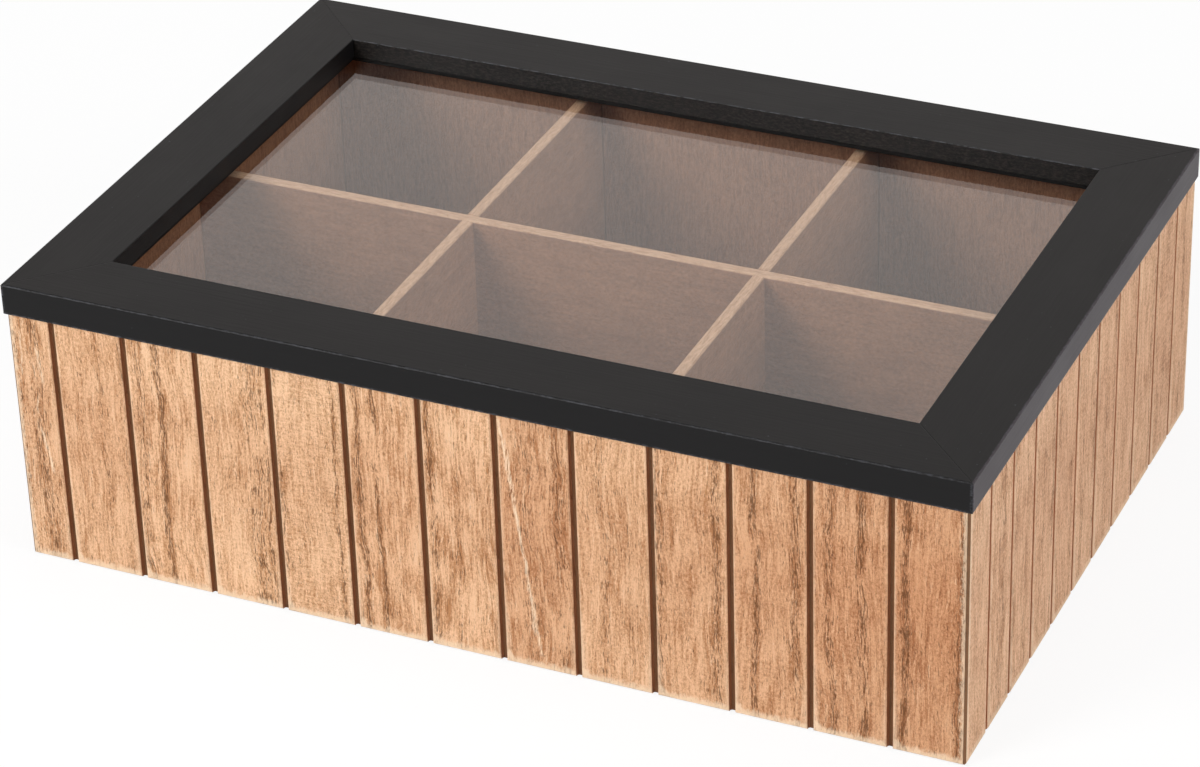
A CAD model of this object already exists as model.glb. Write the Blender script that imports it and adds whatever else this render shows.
import math
import random
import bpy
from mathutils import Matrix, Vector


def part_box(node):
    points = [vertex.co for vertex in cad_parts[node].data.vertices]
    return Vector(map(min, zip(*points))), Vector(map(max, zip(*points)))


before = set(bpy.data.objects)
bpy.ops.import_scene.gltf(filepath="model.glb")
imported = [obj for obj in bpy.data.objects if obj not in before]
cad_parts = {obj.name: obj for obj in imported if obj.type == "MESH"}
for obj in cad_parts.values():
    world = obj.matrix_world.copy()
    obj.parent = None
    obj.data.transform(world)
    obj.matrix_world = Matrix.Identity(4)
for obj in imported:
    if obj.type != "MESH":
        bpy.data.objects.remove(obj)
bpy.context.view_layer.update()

from types import SimpleNamespace
from typing import NamedTuple

import bpy
from mathutils import Matrix, Vector

bl_info = {
    "name": "Tea Box",
    "version": (1, 0, 0),
    "blender": (4, 5, 0),
    "location": "3D View > Sidebar > Tea Box",
    "description": "Finishes, light and camera for a wooden tea box with a glazed lid",
    "category": "Object",
}

MM = 0.001
TO_MM = (1 / MM, 1 / MM, 1 / MM)


def tone(red, green, blue):
    """A screen colour, 0 to 255, as the linear values that shaders work in."""
    return tuple(
        c / 12.92 if c <= 0.04045 else ((c + 0.055) / 1.055) ** 2.4
        for c in (red / 255, green / 255, blue / 255)
    )


def millimetres(node):
    """Lowest and highest corner of a part of the frame, in millimetres."""
    low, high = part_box(node)
    return low / MM, high / MM


# --- Settings --------------------------------------------------------------------------------


def length(label, text, size):
    """A length property. Its default is given in millimetres."""
    return bpy.props.FloatProperty(
        name=label, description=text, default=size * MM, min=0, precision=5,
        subtype="DISTANCE", unit="LENGTH",
    )


def colour(label, text, value):
    return bpy.props.FloatVectorProperty(
        name=label, description=text, default=value, size=3, min=0, max=1, subtype="COLOR",
    )


class TeaBoxSizes(bpy.types.PropertyGroup):
    groove_width: length("Groove width", "Width of a groove between two planks", 1.5)
    groove_depth: length("Groove depth", "Depth of the grooves", 1.2)
    groove_ease: length("Groove edge", "Worn-off edge on each side of a groove", 0.25)
    long_first: length("First groove", "First groove of the long walls, from their left end", 11.8)
    long_pitch: length("Long wall pitch", "Groove pitch of the front and back", 19.1)
    side_first: length("First side groove", "First groove of the side walls", 14.325)
    side_pitch: length("Side wall pitch", "Groove pitch of the side walls", 15.15)
    corner_flat: length("Corner flat", "Flat on the outer arris of each corner", 0.7)
    worn_edge: length("Worn edge", "How far wear reaches in from an edge of the wood", 0.9)
    wall_height: length("Wall height", "Height of the walls", 67)
    wall_thickness: length("Wall thickness", "Thickness of the walls", 7)
    rail_width: length("Rail width", "Width of the lid's rails", 19.4)
    lid_thickness: length("Lid thickness", "Thickness of the lid's rails", 8)


class TeaBoxColours(bpy.types.PropertyGroup):
    wood_pale: colour("Pale grain", "Lighter wood between the pores", tone(252, 207, 165))
    wood_tan: colour("Tan grain", "Darker wood of the broad bands", tone(195, 138, 90))
    wood_stain: colour("Stain", "Darkens the planks that took more stain", tone(216, 190, 171))
    wood_blush: colour("Wood blush", "Tint of the side walls", tone(252, 252, 255))
    wood_pore: colour("Pores", "Short dark pores of the wood", tone(106, 60, 12))
    wood_worn: colour("Worn wood", "Bare wood on arrises and edges", tone(252, 221, 187))
    groove: colour("Groove", "Stained floor of the grooves", tone(129, 88, 54))
    groove_wall: colour("Groove wall", "Stained walls of the grooves", tone(190, 120, 76))
    inner_pale: colour("Inner pale", "Lighter grain of the inner wood", tone(176, 124, 90))
    inner_tan: colour("Inner tan", "Darker grain of the inner wood", tone(136, 90, 62))
    inner_edge: colour("Inner edge", "Top edges of the walls and dividers", tone(226, 184, 150))
    paint: colour("Paint", "Black paint of the lid", tone(11, 10, 11))
    paint_cloud: colour("Clouded paint", "Patches where the paint has gone matt", tone(24, 23, 24))
    paint_dusty: colour("Dusty paint", "Outer face of the right rail", tone(70, 62, 67))
    paint_thin: colour("Thin paint", "Dry paint on the rails' inner faces", tone(66, 60, 55))
    paint_worn: colour("Worn paint", "Rubbed edges of the paint", tone(112, 114, 122))
    paint_seam: colour("Seam", "Mitre joints of the rails", tone(8, 8, 8))
    pane_tint: colour("Pane", "Tint of the glass", (0.97, 0.985, 0.98))
    pane_shade: colour("Pane shade", "Light that the glass lets through", (0.86, 0.87, 0.87))
    brass: colour("Brass", "Aged brass of the hinges", tone(196, 160, 92))
    brass_dull: colour("Dull brass", "Brass where it has gone dull", tone(122, 92, 52))
    floor: colour("Floor", "Pale studio floor", (0.8, 0.8, 0.8))


def in_millimetres(group):
    """The sizes of a property group, in millimetres."""
    names = TeaBoxSizes.__annotations__
    return SimpleNamespace(**{name: getattr(group, name) / MM for name in names})


# --- Shader maths ----------------------------------------------------------------------------


class Noise(NamedTuple):
    """Cycles to the millimetre along X, Y and Z, and the settings of the noise."""

    stretch: tuple
    detail: float = 2.0
    roughness: float = 0.5
    distortion: float = 0.0


class Socket:
    """A shader socket. Python's operators on it add Math nodes."""

    def __init__(self, maker, socket):
        self.maker = maker
        self.socket = socket

    def out(self, name):
        return Socket(self.maker, self.socket.node.outputs[name])

    def __add__(self, other):
        return self.maker.maths("ADD", self, other)

    def __sub__(self, other):
        return self.maker.maths("SUBTRACT", self, other)

    def __rsub__(self, other):
        return self.maker.maths("SUBTRACT", other, self)

    def __mul__(self, other):
        return self.maker.maths("MULTIPLY", self, other)

    def __truediv__(self, other):
        return self.maker.maths("DIVIDE", self, other)

    def __abs__(self):
        return self.maker.maths("ABSOLUTE", self)

    __radd__ = __add__
    __rmul__ = __mul__


class Finish:
    """Builds the nodes of a material or a world."""

    def __init__(self, owner):
        owner.use_nodes = True
        self.owner = owner
        self.tree = owner.node_tree
        self.tree.nodes.clear()

    def node(self, kind, settings=None, inputs=None):
        """Adds a node, sets it up, fills or links its sockets and gives its first output."""
        made = self.tree.nodes.new("ShaderNode" + kind)
        for name, value in (settings or {}).items():
            if name == "stops":
                self.set_stops(made.color_ramp, value)
            else:
                setattr(made, name, value)
        for key, value in (inputs or {}).items():
            if isinstance(key, int):
                socket = made.inputs[key]
            else:
                socket = next(s for s in made.inputs if key in (s.identifier, s.name))
            if isinstance(value, Socket):
                self.tree.links.new(value.socket, socket)
            elif hasattr(value, "__len__") and len(value) == 3 and socket.type == "RGBA":
                socket.default_value = (*value, 1)
            else:
                socket.default_value = value
        return Socket(self, made.outputs[0]) if made.outputs else None

    def set_stops(self, ramp, stops):
        """Steps of one colour each."""
        ramp.interpolation = "CONSTANT"
        while len(ramp.elements) < len(stops):
            ramp.elements.new(1)
        for element, (position, value) in zip(ramp.elements, stops):
            element.position = position
            element.color = (*value, 1)

    def maths(self, operation, *values):
        return self.node("Math", {"operation": operation}, dict(enumerate(values)))

    def least(self, first, second):
        return self.maths("MINIMUM", first, second)

    def most(self, first, second):
        return self.maths("MAXIMUM", first, second)

    def channels(self, colour):
        red = self.node("SeparateColor", None, {"Color": colour})
        return red, red.out("Green"), red.out("Blue")

    def split(self, vector):
        xyz = self.node("SeparateXYZ", None, {"Vector": vector})
        return xyz, xyz.out("Y"), xyz.out("Z")

    def join(self, x, y, z):
        return self.node("CombineXYZ", None, {"X": x, "Y": y, "Z": z})

    def ramp(self, value, low, high):
        """0 below low, 1 above high, and smooth between."""
        settings = {"interpolation_type": "SMOOTHSTEP"}
        return self.node("MapRange", settings, {"Value": value, "From Min": low, "From Max": high})

    def mix(self, share, first, second, blend="MIX"):
        settings = {"data_type": "RGBA", "blend_type": blend}
        inputs = {"Factor_Float": share, "A_Color": first, "B_Color": second}
        made = self.node("Mix", settings, inputs)
        return made.out(2)

    def noise(self, vector, noise):
        scaled = self.node("VectorMath", {"operation": "MULTIPLY"}, {0: vector, 1: noise.stretch})
        inputs = {"Vector": scaled, "Scale": 1, "Detail": noise.detail,
                  "Roughness": noise.roughness, "Distortion": noise.distortion}
        return self.node("TexNoise", None, inputs)

    def place(self, turn, origin):
        """Coordinates in millimetres, turned about Z and set off to origin."""
        coordinates = self.node("TexCoord").out("Object")
        inputs = {"Vector": coordinates, "Location": origin, "Rotation": (0, 0, math.radians(turn)),
                  "Scale": TO_MM}
        return self.node("Mapping", None, inputs)

    def bump(self, height, strength, distance):
        inputs = {"Strength": strength, "Distance": distance, "Height": height}
        return self.node("Bump", None, inputs)

    def shade(self, inputs):
        self.show(self.node("BsdfPrincipled", None, inputs))

    def show(self, shader):
        self.node("OutputMaterial", None, {"Surface": shader})

    def seen(self):
        """1 for rays that show a surface, 0 for rays that light one."""
        rays = self.node("LightPath")
        straight = self.most(rays.out("Is Camera Ray"), rays.out("Is Glossy Ray"))
        return self.most(straight, rays.out("Is Transmission Ray"))


def new_finish(name):
    return Finish(bpy.data.materials.new(name))


def paint(node, material):
    """Gives a part of the frame its finish."""
    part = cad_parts[node]
    for slot in part.material_slots:
        slot.material = material


# --- Wall wood -------------------------------------------------------------------------------

# One row for each front plank. First its stain, figure and saw marks, from 0 to 1, then two bands
# of dark pores, each with its place across the plank, its half width in millimetres and its
# strength.
FRONT_PLANKS = (
    ((0.22, 0.7, 0.0), (0.72, 2.0, 0.70), (0.45, 0.8, 0.60)),
    ((0.20, 0.3, 0.0), (0.60, 1.0, 0.30), (0.90, 0.8, 0.35)),
    ((0.10, 0.7, 0.0), (0.18, 1.4, 0.60), (0.45, 1.0, 1.00)),
    ((0.00, 0.2, 0.1), (0.76, 2.6, 0.70), (0.92, 0.6, 0.85)),
    ((0.02, 0.2, 1.0), (0.08, 1.2, 0.60), (0.85, 0.6, 0.85)),
    ((0.27, 0.8, 0.0), (0.18, 0.9, 1.00), (0.41, 0.8, 1.00)),
    ((0.17, 1.0, 0.0), (0.12, 1.0, 0.80), (0.45, 0.9, 0.45)),
    ((0.55, 1.0, 0.0), (0.38, 1.9, 0.50), (0.80, 1.6, 0.60)),
    ((0.25, 0.4, 0.0), (0.36, 1.4, 0.50), (0.70, 1.0, 0.35)),
    ((0.36, 0.5, 0.3), (0.12, 1.6, 0.70), (0.84, 1.2, 0.80)),
    ((0.54, 0.5, 0.0), (0.30, 1.0, 0.95), (0.83, 1.3, 0.75)),
    ((0.70, 0.6, 0.0), (0.25, 1.1, 0.85), (0.64, 1.4, 0.95)),
    ((0.82, 0.6, 0.0), (0.20, 1.2, 0.95), (0.88, 1.4, 0.90)),
)
# Lowest and highest of each of these numbers on the other walls. One below 0 counts as 0.
CHANCE_PLANK = (
    ((0.07, 0.37), (0.1, 0.5), (-3, 1)),
    ((0.1, 0.5), (0.6, 1.6), (0.1, 0.7)),
    ((0.5, 0.95), (0.6, 1.6), (0.1, 0.6)),
)
# A ramp's colours end at 1, so it holds half widths as shares of this one.
WIDEST_BAND = 4.0

# Strokes on the front: foot and head of each, across and up, then half width and strength.
# Pale ones are bare wood, dark ones are scratches.
PALE_STROKES = (
    ((136.4, 3.0), (127.6, 67.0), 0.6, 1.0),
    ((135.0, 8.0), (129.1, 62.0), 0.45, 0.85),
    ((8.2, 49.0), (7.0, 60.0), 0.6, 1.0),
    ((8.6, 24.0), (6.0, 38.0), 0.55, 1.0),
    ((5.4, 40.0), (6.6, 47.0), 0.4, 0.9),
    ((2.6, 50.0), (3.2, 64.0), 0.4, 0.8),
)
DARK_STROKES = (
    ((181.0, 35.6), (175.4, 38.6), 0.22, 0.6),
    ((228.5, 13.0), (226.6, 22.0), 0.2, 0.4),
)
STROKE_END = 2.0
STROKE_WANDER = 2.4

# Noises of a wall. Across it is X, into it Y, and up Z. In these each plank has its own stretch:
FIBRE = Noise((1.2, 1.2, 0.07), 4, 0.85)
CLOUD = Noise((0.2, 0.2, 0.06), 3, 0.65, 0.4)
FLECK = Noise((2.1, 2.1, 0.26), 3, 0.75)
GRIT = Noise((1.9, 1.9, 1.2), 2, 0.8)
DASH = Noise((2.7, 2.7, 0.3), 2, 0.8)
# These run on over all the planks:
SWAY = Noise((0.05, 0, 0.03))
CHATTER = Noise((0.22, 0.1, 1.7), 3, 0.7)
PIT = Noise((2.4, 2.4, 1.5), 2, 0.8)
ROUGH = Noise((0.8, 0.8, 0.4), 3, 0.65)
CHIP = Noise((1.3, 1.3, 0.6), 4, 0.85)
WANDER = Noise((0, 0, 0.12), 3, 0.6)
END_DOT = Noise((3.4, 3.4, 0), 2, 0.7)
END_RING = Noise((0.12, 0.9, 0), 3, 0.7)

# How far the grain sways across a plank, and how far apart two planks lie in the noise
SWAY_WIDTH = 5
PLANK_STEP = (31.7, 113)

# Levels of their noises between which glints, short pores, dashes and pits come in, and between
# which a pale stroke breaks up
GLINTS_SHOW = (-0.06, -0.26)
FLECKS_SHOW, DASHES_SHOW, PITS_SHOW = (0.61, 0.75), (0.63, 0.72), (0.62, 0.7)
STROKES_BREAK = (0.62, 0.42)
# A band of pores fades out between these shares of its half width.
BAND_FADES = (0.2, 1.6)
# Share of tan wood before the noises move it, strength of a plank's own stain and of the stain at
# mid height, and strength of the pores
TAN_SHARE = 0.36
PLANK_STAIN, MIDDLE_STAIN = 0.9, 0.2
PORE_STRENGTH = 0.77

# Heights over which the stain deepens, over which it fades again, and over which the heavier wear
# of a groove's edge ends
STAIN_DEEPENS, STAIN_FADES = (4, 38), (46, 62)
HEAVY_WEAR_ENDS = (4, 22)
# How far the foot and the corners are worn, before chips take some off, and how far the foot's
# wear spreads beside a groove
FOOT_WORN, CORNER_WORN = (3.6, 5.4), (3.1, 4.2)
FOOT_SPREAD = 2.2

WALL_RELIEF = 0.3 * MM


def chance_planks(count, seed):
    """Rows by chance, for the planks of a wall that has none of its own."""
    draw = random.Random(seed)
    return [
        [tuple(max(0.0, draw.uniform(*ends)) for ends in triple) for triple in CHANCE_PLANK]
        for _ in range(count)
    ]


def wall_spot(wood, wall):
    """Where a point lies on its wall and beside the nearest groove, in millimetres."""
    spot = SimpleNamespace(local=wood.place(wall.turn, wall.origin))
    spot.across, spot.depth, spot.up = wood.split(spot.local)
    spot.end = wood.least(spot.across, wall.span - spot.across)
    step = (spot.across - wall.first) / wall.pitch
    last = len(wall.planks) - 2
    nearest = wood.least(wood.most(wood.maths("ROUND", step), 0), last)
    spot.plank = wood.maths("FLOOR", step)
    spot.beside = spot.across - wall.first - nearest * wall.pitch
    spot.away = abs(spot.beside)
    return spot


def wall_grain(wood, wall, spot):
    """The grain of each plank, from its own stretch of the tree, and what runs over them all."""
    swayed = spot.across + (wood.noise(spot.local, SWAY) - 0.5) * SWAY_WIDTH
    over, along = PLANK_STEP
    tree = wood.join(swayed + spot.plank * over, spot.depth, spot.up + spot.plank * along)
    grain = SimpleNamespace()
    grain.inside = (swayed - wall.first) / wall.pitch - spot.plank
    grain.fibre = wood.noise(tree, FIBRE) - 0.5
    grain.cloud = wood.noise(tree, CLOUD) - 0.5
    grain.fleck = wood.noise(tree, FLECK)
    grain.grit = wood.noise(tree, GRIT) - 0.5
    grain.dash = wood.noise(tree, DASH)
    grain.chatter = wood.noise(spot.local, CHATTER) - 0.5
    grain.rough = wood.noise(spot.local, ROUGH)
    return grain


def per_plank(wood, spot, rows):
    """Three numbers for each plank, held as the steps of a colour ramp."""
    stops = [(i / len(rows), row) for i, row in enumerate(rows)]
    # The plank before the first groove is number -1, and a step is read at its middle.
    place = (spot.plank + 1.5) / len(rows)
    return wood.channels(wood.node("ValToRGB", {"stops": stops}, {"Fac": place}))


def pore_band(wood, wall, spot, grain, rows):
    """How deep a point lies in its plank's band of pores, from 0 to 1."""
    rows = [(where, width / WIDEST_BAND, strength) for where, width, strength in rows]
    where, width, strength = per_plank(wood, spot, rows)
    off = abs(grain.inside - where) * wall.pitch / (width * WIDEST_BAND)
    return (1 - wood.ramp(off, *BAND_FADES)) * strength


def plank_face(wood, wall, spot, grain, tones):
    """Colour of the planks, how deep a pore is, and the height of the grain."""
    looks, first_band, second_band = zip(*wall.planks)
    stain, figure, saw = per_plank(wood, spot, looks)
    band = pore_band(wood, wall, spot, grain, first_band)
    band = wood.most(band, pore_band(wood, wall, spot, grain, second_band))
    band = band * wood.ramp(grain.cloud, -0.35, 0.0)

    # Pale wood with tan streaks, stained, with bare glints between the streaks
    streaks = grain.fibre * (figure * 2.8 + 2.3) + grain.chatter * saw * 1.6
    patches = grain.grit * 2.6 + grain.cloud * (figure * 1.6 + 1.0) + band * 0.3
    base = wood.mix(streaks + patches + TAN_SHARE, tones.wood_pale, tones.wood_tan)
    middle = wood.ramp(spot.up, *STAIN_DEEPENS) * (1 - wood.ramp(spot.up, *STAIN_FADES))
    stain = stain * PLANK_STAIN + middle * MIDDLE_STAIN
    base = wood.mix(stain, base, tones.wood_stain, "MULTIPLY")
    base = wood.mix(wall.blush, base, tones.wood_blush, "MULTIPLY")
    glint = wood.ramp(grain.fibre + grain.grit * 0.3, *GLINTS_SHOW)
    base = wood.mix(glint * (figure * 0.3 + 0.45), base, tones.wood_worn)

    # Short pores, longer dashes in the bands, and pits along the saw marks
    pores = wood.ramp(grain.fleck + figure * 0.03 + grain.cloud * 0.12, *FLECKS_SHOW) * 0.75
    dashes = wood.ramp(grain.dash + band * 0.15 + grain.cloud * 0.16, *DASHES_SHOW)
    pits = wood.ramp(wood.noise(spot.local, PIT) + grain.cloud * 0.2, *PITS_SHOW) * saw * 0.6
    pores = wood.most(wood.most(pores, dashes), pits)
    base = wood.mix(pores * PORE_STRENGTH, base, tones.wood_pore)
    relief = grain.fibre + grain.grit * 1.1 - pores * 0.8 + grain.chatter * saw * 0.9
    return base, pores, relief


def strokes(wood, spot, lines):
    """Thin lines that wander from foot to head."""
    wander = (wood.noise(spot.local, WANDER) - 0.5) * STROKE_WANDER
    made = 0
    for (foot_x, foot_z), (head_x, head_z), width, strength in lines:
        lean = (head_x - foot_x) / (head_z - foot_z)
        off = abs(spot.across - wander - (spot.up - foot_z) * lean - foot_x)
        ends = wood.ramp(spot.up, foot_z, foot_z + STROKE_END)
        ends = ends * (1 - wood.ramp(spot.up, head_z - STROKE_END, head_z))
        line = (1 - wood.ramp(off, width * 0.2, width)) * ends * strength
        made = wood.most(made, line)
    return made


def bare_wood(wood, wall, spot, grain, base, sizes, tones):
    """Wear on the arrises, the foot and the corners, and strokes where a wall is marked."""
    rough, up = grain.rough, spot.up
    chips = wood.noise(spot.local, CHIP)
    ease = sizes.groove_ease
    edge = sizes.groove_width / 2 + ease
    face = 1 - wood.ramp(spot.depth, ease + 0.02, ease + 0.15)
    right = wood.ramp(spot.beside, 0.0, 0.5)
    low = 1 - wood.ramp(up, *HEAVY_WEAR_ENDS)
    reach = edge + sizes.worn_edge * (low + 1.5)
    arris = 1 - wood.ramp(spot.away + rough * 1.2, edge, reach)
    arris = arris * (right * 0.4 + 0.25 + low * 0.15)
    spread = (1 - wood.ramp(spot.away, edge, edge + FOOT_SPREAD)) * right * (1 + wall.stained)
    foot = 1 - wood.ramp(up + chips * 2.5 + rough * 3.0 - spread, *FOOT_WORN)
    foot = foot * (wall.stained * 0.3 + 0.6) * (1 - wood.ramp(spot.depth, 0.6, 0.8))
    corner = (1 - wood.ramp(spot.end + chips * 4.5, *CORNER_WORN)) * 0.75
    wear = wood.most(wood.most(arris, corner) * face, foot)
    if wall.marked:
        base = wood.mix(strokes(wood, spot, DARK_STROKES), base, tones.wood_pore)
        pale = strokes(wood, spot, PALE_STROKES) * wood.ramp(grain.fleck, *STROKES_BREAK)
        wear = wood.most(wear, pale * face)
    return wood.mix(wear, base, tones.wood_worn)


def groove_cut(wood, spot, sizes):
    """1 inside a groove, 0 outside."""
    half, deep = sizes.groove_width / 2, sizes.groove_depth
    cut = wood.ramp(spot.depth, 0.14, 0.3) * (1 - wood.ramp(spot.depth, deep + 0.05, deep + 0.15))
    return cut * (1 - wood.ramp(spot.away, half + 0.03, half + 0.1))


def stained_cuts(wood, wall, spot, cut, base, sizes, tones):
    """Stain in the grooves and on the corner flats."""
    half, flat = sizes.groove_width / 2, sizes.corner_flat
    inner = wood.ramp(half - spot.away, 0.1, 0.5)
    stain = wood.mix((inner * 0.5 + 0.5) * wall.stained, tones.groove_wall, tones.groove)
    base = wood.mix(cut * (wall.stained * 0.2 + 0.8), base, stain)
    chamfer = 1 - wood.ramp(spot.end + spot.depth, flat + 0.05, flat + 0.15)
    chamfer = chamfer * wood.ramp(spot.depth, 0.02, 0.08) * (1 - wood.ramp(spot.depth, 0.4, 0.5))
    return wood.mix(chamfer, base, tones.groove)


def inner_face(wood, wall, spot, grain, within, base, sizes, tones):
    """Plain wood, darker in the joints with the dividers and the next wall."""
    plain = grain.fibre * 0.9 + grain.cloud * 0.5 + grain.grit * 2.2
    plain = plain + (grain.fleck - 0.5) * 2.2 + 0.45
    plain = wood.mix(plain, tones.inner_pale, tones.inner_tan)
    crease = abs(abs(spot.across - wall.span / 2) - wall.joint) - wall.divider_half
    crease = wood.least(crease, spot.end - sizes.wall_thickness)
    plain = wood.mix((1 - wood.ramp(crease, 0.1, 0.5)) * 0.6, plain, tones.wood_pore)
    return wood.mix(within, base, plain)


def end_grain(wood, spot, grain, share, base, tones):
    """End grain on the top edge, worn along its outer arris."""
    rings = wood.noise(spot.local, END_DOT) * 2.2 + wood.noise(spot.local, END_RING) * 2.4 - 1.9
    top = wood.mix(rings, tones.inner_edge, tones.inner_pale)
    worn = (1 - wood.ramp(spot.depth + grain.rough, 0.6, 1.4)) * 0.6
    return wood.mix(share, base, wood.mix(worn, top, tones.wood_worn))


def plank_wood(name, wall, sizes, tones):
    """Grooved wall wood, plain on its inner face."""
    wood = new_finish(name)
    spot = wall_spot(wood, wall)
    grain = wall_grain(wood, wall, spot)
    thick, height = sizes.wall_thickness, sizes.wall_height
    within = wood.ramp(spot.depth, thick - 0.2, thick - 0.05)
    rim = wood.ramp(spot.up, height - 0.1, height - 0.02)
    cut = groove_cut(wood, spot, sizes)
    base, pores, relief = plank_face(wood, wall, spot, grain, tones)
    base = bare_wood(wood, wall, spot, grain, base, sizes, tones)
    base = stained_cuts(wood, wall, spot, cut, base, sizes, tones)
    base = inner_face(wood, wall, spot, grain, within, base, sizes, tones)
    base = end_grain(wood, spot, grain, rim * (1 - cut), base, tones)
    bump = wood.bump(relief * (1 - within * 0.9) * (1 - rim), 1.0, WALL_RELIEF)
    wood.shade({"Base Color": base, "Roughness": pores * 0.15 + 0.56, "Normal": bump,
                "Specular IOR Level": 0.4})
    return wood.owner


# --- Compartments ----------------------------------------------------------------------------

# Noises of a board. Along it is X.
INNER_FIBRE = Noise((0.06, 1.2, 1.2), 4, 0.75)
INNER_CLOUD = Noise((0.09, 0.16, 0.16), 4, 0.7)
INNER_GRIT = Noise((1.0, 1.5, 1.5), 3, 0.75)
INNER_PORE = Noise((0.3, 1.6, 1.6))
EDGE_STRAND = Noise((0.35, 2.6, 2.6), 3, 0.75)
BOARD_STEP = 17
BOARD_RELIEF = 0.2 * MM
INNER_PORES_SHOW = (0.66, 0.76)
# How far below the crest the edge's own look comes in
EDGE_BELOW = (0.6, 0.2)


def inner_wood(name, turn, crest, tones, seed):
    """Plain wood of the bottom and the dividers, paler on an edge at the height of crest."""
    wood = new_finish(name)
    along, across, up = wood.split(wood.place(turn, (0, 0, 0)))
    tree = wood.join(along, across + seed * BOARD_STEP, up)
    fibre = wood.noise(tree, INNER_FIBRE)
    grit = wood.noise(tree, INNER_GRIT)
    streaks = fibre * 1.1 + wood.noise(tree, INNER_CLOUD) * 1.1 + grit * 2.4 - 1.8
    base = wood.mix(streaks, tones.inner_pale, tones.inner_tan)
    pores = wood.ramp(wood.noise(tree, INNER_PORE), *INNER_PORES_SHOW)
    base = wood.mix(pores * 0.35, base, tones.wood_pore)
    strands = wood.noise(tree, EDGE_STRAND) * 2.6 + grit * 0.8 - 1.3
    edge = wood.mix(strands, tones.inner_edge, tones.inner_pale)
    at_edge = wood.ramp(up, *(crest - below for below in EDGE_BELOW))
    base = wood.mix(at_edge, base, edge)
    bump = wood.bump(fibre - pores * 0.5, 0.25, BOARD_RELIEF)
    wood.shade({"Base Color": base, "Roughness": pores * 0.1 + 0.6, "Normal": bump,
                "Specular IOR Level": 0.35})
    return wood.owner


# --- Lid -------------------------------------------------------------------------------------

# Noises of a rail. Along it is X, in from its outer edge Y, and up Z.
PAINT_FIBRE = Noise((0.05, 1.4, 1.4), 4, 0.6)
PAINT_CLOUD = Noise((0.05, 0.08, 0.08), 3, 0.6)
PAINT_SPECK = Noise((1.1, 1.3, 1.3))
PAINT_RUB = Noise((0.6, 1.6, 1.6), 4, 0.75)
PAINT_THIN = Noise((0.7, 1.8, 1.8), 4, 0.8)
RAIL_STEP = 53
PAINT_RELIEF = 0.25 * MM
# Levels of their noises between which rubbed paint, thin paint and specks come in
RUB_SHOWS, THIN_SHOWS, SPECKS_SHOW = (0.42, 0.62), (0.4, 0.7), (0.74, 0.8)
# Distances from a mitre over which its seam fades
SEAM_FADES = (0.05, 0.22)

BRASS_CLOUD = Noise((0.35, 0.35, 0.35), 4, 0.6)
BRASS_FINE = Noise((3, 3, 3), 3, 0.6)
BRASS_RELIEF = 0.1 * MM
DULL_SHOWS = (0.42, 0.68)


def rubbed_arrises(coat, rail, along, inward, up, rub, sizes):
    """How far the paint of a rail is rubbed along its arrises, from 0 to 1."""
    down = sizes.lid_thickness - up
    low = (1 - coat.ramp(up + inward, 0.3, 0.9)) * 0.5
    high = (1 - coat.ramp(down + inward, 0.25, 0.5)) * 0.24
    inner = (1 - coat.ramp(down + abs(sizes.rail_width - inward), 0.1, 0.3)) * 0.6
    end = coat.least(along, rail.span - along)
    corner = (1 - coat.ramp(end + inward, 0.3, 0.8)) * 0.4
    edge = coat.most(coat.most(low, high), coat.most(inner, corner))
    return edge * coat.ramp(rub, *RUB_SHOWS)


def black_paint(name, rail, sizes, tones):
    """Satin paint over wood."""
    coat = new_finish(name)
    along, inward, up = coat.split(coat.place(rail.turn, rail.origin))
    tree = coat.join(along + rail.seed * RAIL_STEP, inward, up)
    fibre = coat.noise(tree, PAINT_FIBRE)
    cloud = coat.noise(tree, PAINT_CLOUD)
    base = coat.mix(cloud * 0.25, tones.paint, tones.paint_cloud)
    if rail.dusty:
        base = coat.mix((1 - coat.ramp(inward, 0.1, 0.4)) * 0.6, base, tones.paint_dusty)
    thin = 1 - coat.ramp(abs(sizes.rail_width - inward), 0.05, 0.15)
    thin = thin * coat.ramp(coat.noise(tree, PAINT_THIN), *THIN_SHOWS)
    base = coat.mix(thin * 0.6, base, tones.paint_thin)
    rubbed = rubbed_arrises(coat, rail, along, inward, up, coat.noise(tree, PAINT_RUB), sizes)
    base = coat.mix(rubbed * 0.8, base, tones.paint_worn)
    speck = coat.ramp(coat.noise(tree, PAINT_SPECK), *SPECKS_SHOW)
    base = coat.mix(speck * 0.25, base, tones.paint_worn)
    mitre = coat.least(abs(along - inward), abs(rail.span - along - inward))
    seam = 1 - coat.ramp(mitre, *SEAM_FADES)
    base = coat.mix(seam * 0.3, base, tones.paint_seam)
    bump = coat.bump(fibre * 0.5 - seam * 0.4, 0.25, PAINT_RELIEF)
    coat.shade({"Base Color": base, "Roughness": cloud * 0.12 + fibre * 0.08 + 0.35,
                "Normal": bump, "Specular IOR Level": 0.2})
    return coat.owner


def clear_glass(name, tones):
    """A clear pane that lamps shine through."""
    glass = new_finish(name)
    inputs = {"Base Color": tones.pane_tint, "Roughness": 0.0, "IOR": 1.5,
              "Transmission Weight": 1.0}
    pane = glass.node("BsdfPrincipled", None, inputs)
    clear = glass.node("BsdfTransparent", None, {"Color": tones.pane_shade})
    rays = glass.node("LightPath")
    for ray in ("Is Diffuse Ray", "Is Shadow Ray"):
        pane = glass.node("MixShader", None, {0: rays.out(ray), 1: pane, 2: clear})
    glass.show(pane)
    return glass.owner


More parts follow.
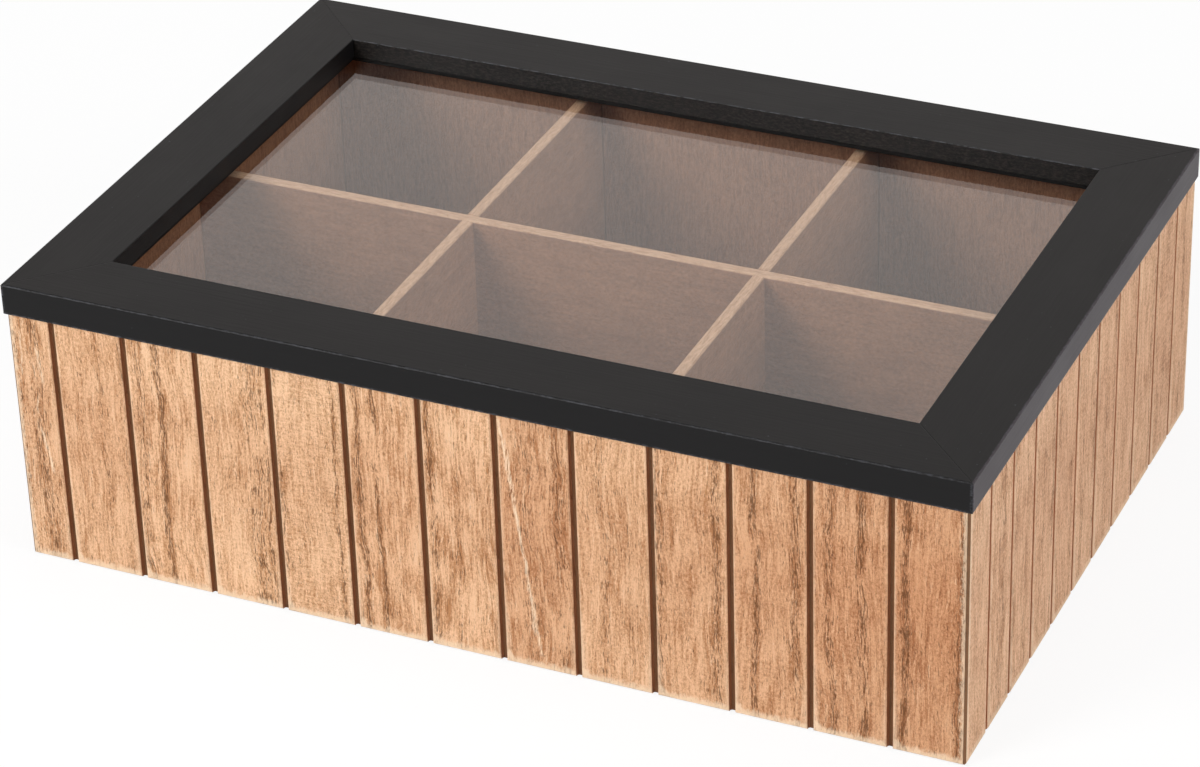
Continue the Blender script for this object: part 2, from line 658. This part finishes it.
def aged_brass(name, tones):
    """Brass gone dull in places."""
    metal = new_finish(name)
    local = metal.place(0, (0, 0, 0))
    fine = metal.noise(local, BRASS_FINE)
    dull = metal.ramp(metal.noise(local, BRASS_CLOUD), *DULL_SHOWS)
    base = metal.mix(dull * 0.6, tones.brass, tones.brass_dull)
    metal.shade({"Base Color": base, "Metallic": 1.0, "Roughness": dull * 0.2 + fine * 0.1 + 0.26,
                 "Normal": metal.bump(fine, 0.15, BRASS_RELIEF)})
    return metal.owner


# --- Operators for the pieces ----------------------------------------------------------------

# The last plank of a wall is at least this share of the first.
LAST_PLANK = 0.7
# The strips have a seed of their own, past those of the rails.
STRIP_SEED = 9


class TEABOX_OT_walls(bpy.types.Operator):
    """Grooved wall panels"""

    bl_idname = "teabox.walls"
    bl_label = "Walls"

    def execute(self, context):
        sizes = in_millimetres(context.scene.tea_box_sizes)
        tones = context.scene.tea_box_colours
        left, right = millimetres("left_panel")[0].x, millimetres("right_panel")[1].x
        front, back = millimetres("front_panel")[0].y, millimetres("back_panel")[1].y
        near, far = millimetres("right_cross_divider")
        long = {"span": right - left, "first": sizes.long_first, "pitch": sizes.long_pitch,
                "stained": 1.0, "blush": 0.0, "joint": (near.x + far.x) / 2}
        side = {"span": back - front, "first": sizes.side_first, "pitch": sizes.side_pitch,
                "stained": 0.1, "blush": 1.0, "joint": 0}
        rows = {
            "front_panel": (0, (-left, -front, 0), long),
            "back_panel": (180, (right, back, 0), long),
            "left_panel": (90, (back, -left, 0), side),
            "right_panel": (-90, (-front, right, 0), side),
        }
        for seed, (node, (turn, origin, kind)) in enumerate(rows.items()):
            wall = SimpleNamespace(turn=turn, origin=origin, marked=node == "front_panel", **kind)
            wall.divider_half = (far.x - near.x) / 2
            # There is one groove more than pitches, and one plank more than grooves.
            pitches = int((wall.span - wall.first * (1 + LAST_PLANK)) / wall.pitch)
            wall.planks = FRONT_PLANKS if wall.marked else chance_planks(pitches + 2, seed)
            paint(node, plank_wood(node + "_wood", wall, sizes, tones))
        return {"FINISHED"}


class TEABOX_OT_compartments(bpy.types.Operator):
    """Bottom panel and divider grid"""

    bl_idname = "teabox.compartments"
    bl_label = "Compartments"

    def execute(self, context):
        tones = context.scene.tea_box_colours
        crest = millimetres("long_divider")[1].z
        pieces = {"bottom_panel": 0, "long_divider": 0, "left_cross_divider": 90,
                  "right_cross_divider": 90}
        for seed, (node, turn) in enumerate(pieces.items(), 1):
            paint(node, inner_wood(node + "_wood", turn, crest, tones, seed))
        return {"FINISHED"}


class TEABOX_OT_lid_frame(bpy.types.Operator):
    """Black rails of the lid and the strips that hold the pane"""

    bl_idname = "teabox.lid_frame"
    bl_label = "Lid frame"

    def execute(self, context):
        sizes = in_millimetres(context.scene.tea_box_sizes)
        tones = context.scene.tea_box_colours
        low, high = millimetres("lid_front_rail")
        left, right, front, foot = low.x, high.x, low.y, low.z
        back = millimetres("lid_back_rail")[1].y
        rails = {
            "lid_front_rail": (0, (-left, -front, -foot), right - left),
            "lid_back_rail": (180, (right, back, -foot), right - left),
            "lid_left_rail": (90, (back, -left, -foot), back - front),
            "lid_right_rail": (-90, (-front, right, -foot), back - front),
        }
        for seed, (node, (turn, origin, span)) in enumerate(rails.items()):
            rail = SimpleNamespace(turn=turn, origin=origin, span=span, seed=seed)
            rail.dusty = node == "lid_right_rail"
            paint(node, black_paint(node + "_paint", rail, sizes, tones))
        rail = SimpleNamespace(turn=0, origin=(-left, -front, -foot), span=right - left,
                               seed=STRIP_SEED, dusty=False)
        strip = black_paint("strip_paint", rail, sizes, tones)
        for side in ("front", "back", "left", "right"):
            paint("glass_bead_" + side, strip)
        return {"FINISHED"}


class TEABOX_OT_pane(bpy.types.Operator):
    """Glass pane of the lid"""

    bl_idname = "teabox.pane"
    bl_label = "Pane"

    def execute(self, context):
        paint("glass_pane", clear_glass("pane_glass", context.scene.tea_box_colours))
        return {"FINISHED"}


class TEABOX_OT_hinges(bpy.types.Operator):
    """Brass hinges and their screws"""

    bl_idname = "teabox.hinges"
    bl_label = "Hinges"

    def execute(self, context):
        brass = aged_brass("hinge_brass_aged", context.scene.tea_box_colours)
        for side in ("left", "right"):
            for piece in ("hinge_box_leaf", "hinge_lid_leaf", "hinge_pin"):
                paint(f"{side}_{piece}", brass)
        for piece in ("box_leaf_screws", "lid_leaf_screws"):
            paint(piece, brass)
        return {"FINISHED"}


# --- Stage -----------------------------------------------------------------------------------

# The floor lies just below the walls' feet. Both are in metres.
FLOOR_HALF = 3.0
FLOOR_LEVEL = -0.0002
# Where the floor is seen, this share of it is a white glow.
FLOOR_GLOW = 0.85
GLOW_STRENGTH = 1.03

# The surround is white where it is seen and dim where it only lights. Glossy surfaces mirror it in
# a warmer tint, and as dim above the ceiling's edge, which lies between these two heights of a
# ray's direction.
SURROUND_WHITE = (1, 1, 1)
SURROUND_WARM = (0.96, 0.91, 0.88)
SURROUND_DIM = 0.3
CEILING_EDGE = (0.54, 0.72)


class Lamp(NamedTuple):
    """Place and diameter in metres, and power in watts. Every lamp faces the origin."""

    place: tuple
    size: float
    power: float


LAMPS = {
    "key": Lamp((-0.7, -1.15, 0.95), 0.8, 16),
    "right_fill": Lamp((1.6, -0.4, 0.9), 1.0, 13),
    "top": Lamp((0.0, 0.2, 1.9), 1.2, 9),
}

# Angles in degrees, lens and sensor in millimetres, place in metres
CAMERA_TURN, CAMERA_RISE, CAMERA_ROLL = 24.743, 30.748, -1.835
CAMERA_LENS, CAMERA_SENSOR = 127.49, 36
CAMERA_PLACE = (0.37082, -0.8156, 0.56067)


class TEABOX_OT_stage(bpy.types.Operator):
    """Floor, surround, lamps and camera"""

    bl_idname = "teabox.stage"
    bl_label = "Stage"

    def execute(self, context):
        scene = context.scene
        scene.view_settings.view_transform = "Standard"
        self.floor(scene)
        self.surround(scene)
        self.lamps(scene)
        self.camera(scene)
        return {"FINISHED"}

    def floor(self, scene):
        mesh = bpy.data.meshes.new("studio_floor")
        corners = [(x * FLOOR_HALF, y * FLOOR_HALF, FLOOR_LEVEL)
                   for x, y in ((-1, -1), (1, -1), (1, 1), (-1, 1))]
        mesh.from_pydata(corners, [], [(0, 1, 2, 3)])
        board = bpy.data.objects.new("studio_floor", mesh)
        scene.collection.objects.link(board)
        finish = new_finish("studio_floor_white")
        plain = finish.node("BsdfDiffuse", None, {"Color": scene.tea_box_colours.floor})
        glow = finish.node("Emission", None, {"Color": (1, 1, 1), "Strength": GLOW_STRENGTH})
        share = finish.seen() * FLOOR_GLOW
        finish.show(finish.node("MixShader", None, {0: share, 1: plain, 2: glow}))
        mesh.materials.append(finish.owner)

    def surround(self, scene):
        scene.world = bpy.data.worlds.new("studio")
        sky = Finish(scene.world)
        glossy = sky.node("LightPath").out("Is Glossy Ray")
        height = sky.split(sky.node("TexCoord"))[2]
        ceiling = sky.ramp(height, *CEILING_EDGE) * glossy
        dim = sky.node("Background", None, {"Color": SURROUND_WHITE, "Strength": SURROUND_DIM})
        tint = sky.mix(glossy, SURROUND_WHITE, SURROUND_WARM)
        white = sky.node("Background", None, {"Color": tint, "Strength": 1.0})
        shown = sky.node("MixShader", None, {0: sky.seen() - ceiling, 1: dim, 2: white})
        sky.node("OutputWorld", None, {"Surface": shown})

    def lamps(self, scene):
        for name, lamp in LAMPS.items():
            light = bpy.data.lights.new(name, "AREA")
            light.shape = "DISK"
            light.size = lamp.size
            light.energy = lamp.power
            item = bpy.data.objects.new(name, light)
            item.location = lamp.place
            item.rotation_euler = (-Vector(lamp.place)).to_track_quat("-Z", "Y").to_euler()
            scene.collection.objects.link(item)

    def camera(self, scene):
        turn, rise, roll = (math.radians(a) for a in (CAMERA_TURN, CAMERA_RISE, CAMERA_ROLL))
        back = Vector((math.sin(turn) * math.cos(rise), -math.cos(turn) * math.cos(rise),
                       math.sin(rise)))
        level = Vector((math.cos(turn), math.sin(turn), 0))
        upright = back.cross(level)
        right = level * math.cos(roll) + upright * math.sin(roll)
        top = upright * math.cos(roll) - level * math.sin(roll)
        lens = bpy.data.cameras.new("camera")
        lens.sensor_width = CAMERA_SENSOR
        lens.lens = CAMERA_LENS
        item = bpy.data.objects.new("camera", lens)
        axes = Matrix((right, top, back)).transposed().to_4x4()
        item.matrix_world = Matrix.Translation(CAMERA_PLACE) @ axes
        scene.collection.objects.link(item)
        scene.camera = item


# --- Panel -----------------------------------------------------------------------------------

OPERATORS = (TEABOX_OT_walls, TEABOX_OT_compartments, TEABOX_OT_lid_frame, TEABOX_OT_pane,
             TEABOX_OT_hinges, TEABOX_OT_stage)


class TEABOX_PT_panel(bpy.types.Panel):
    bl_label = "Tea Box"
    bl_idname = "TEABOX_PT_panel"
    bl_space_type = "VIEW_3D"
    bl_region_type = "UI"
    bl_category = "Tea Box"

    def draw(self, context):
        for group in (context.scene.tea_box_sizes, context.scene.tea_box_colours):
            box = self.layout.box()
            for name in group.__annotations__:
                box.prop(group, name)
        for operator in OPERATORS:
            self.layout.operator(operator.bl_idname)


CLASSES = (TeaBoxSizes, TeaBoxColours, *OPERATORS, TEABOX_PT_panel)


def register():
    for made in CLASSES:
        bpy.utils.register_class(made)
    bpy.types.Scene.tea_box_sizes = bpy.props.PointerProperty(type=TeaBoxSizes)
    bpy.types.Scene.tea_box_colours = bpy.props.PointerProperty(type=TeaBoxColours)


def unregister():
    del bpy.types.Scene.tea_box_colours
    del bpy.types.Scene.tea_box_sizes
    for made in reversed(CLASSES):
        bpy.utils.unregister_class(made)


def main():
    register()
    bpy.ops.teabox.walls()
    bpy.ops.teabox.compartments()
    bpy.ops.teabox.lid_frame()
    bpy.ops.teabox.pane()
    bpy.ops.teabox.hinges()
    bpy.ops.teabox.stage()


if __name__ == "__main__":
    main()
